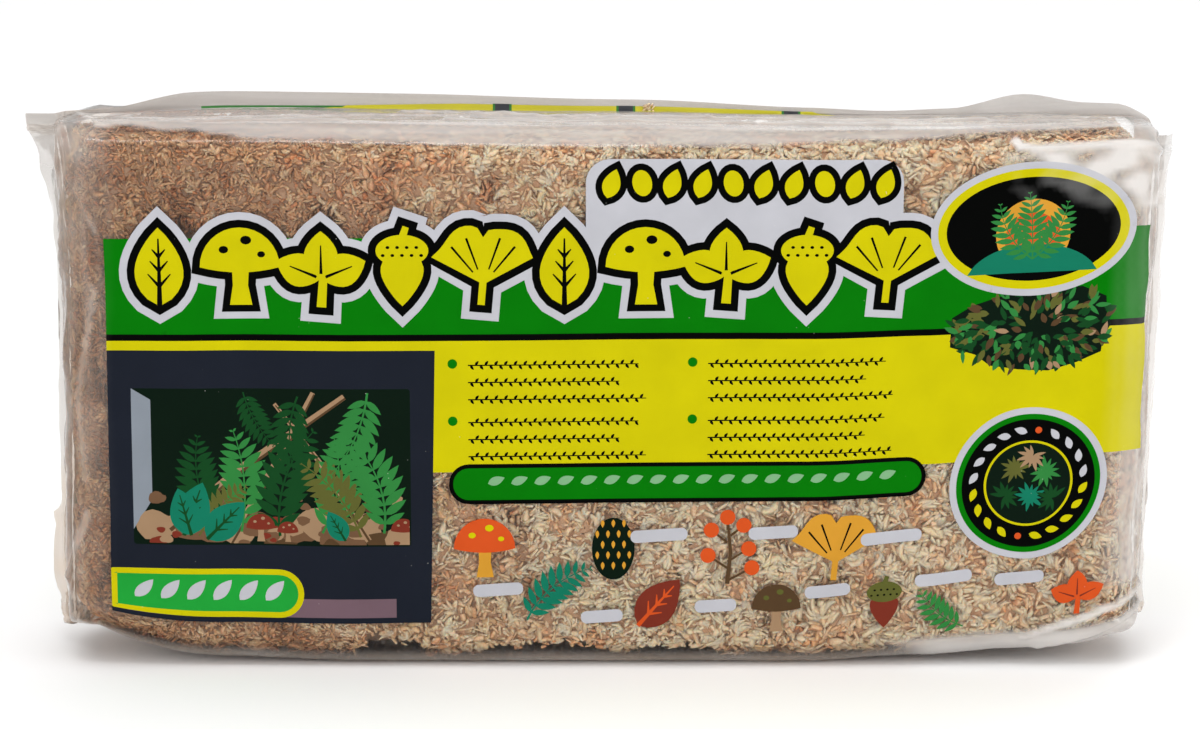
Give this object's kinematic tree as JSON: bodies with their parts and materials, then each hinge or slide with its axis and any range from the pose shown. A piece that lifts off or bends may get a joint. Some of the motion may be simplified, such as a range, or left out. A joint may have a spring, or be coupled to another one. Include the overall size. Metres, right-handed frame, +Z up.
{
  "type": "bagged brick of dried sphagnum moss",
  "caption": "Pressed brick of dried sphagnum moss sealed in a clear film bag, standing upright on its long narrow side.",
  "frame": {"origin": "middle of the bag's footprint, on the surface that it stands on", "axes": "+X along the brick to the right as seen from the printed front, +Y from the front to the back, +Z up"},
  "size_m": [0.2995, 0.0502, 0.1469],
  "materials": {
    "moss": "matte, fibrous dried moss strands in cream, tan and pinkish brown, pressed into a brick",
    "film": null
  },
  "bodies": {
    "root": {"moss_block": "moss", "bag_front": "film", "bag_back": "film"}
  },
  "joints": []
}
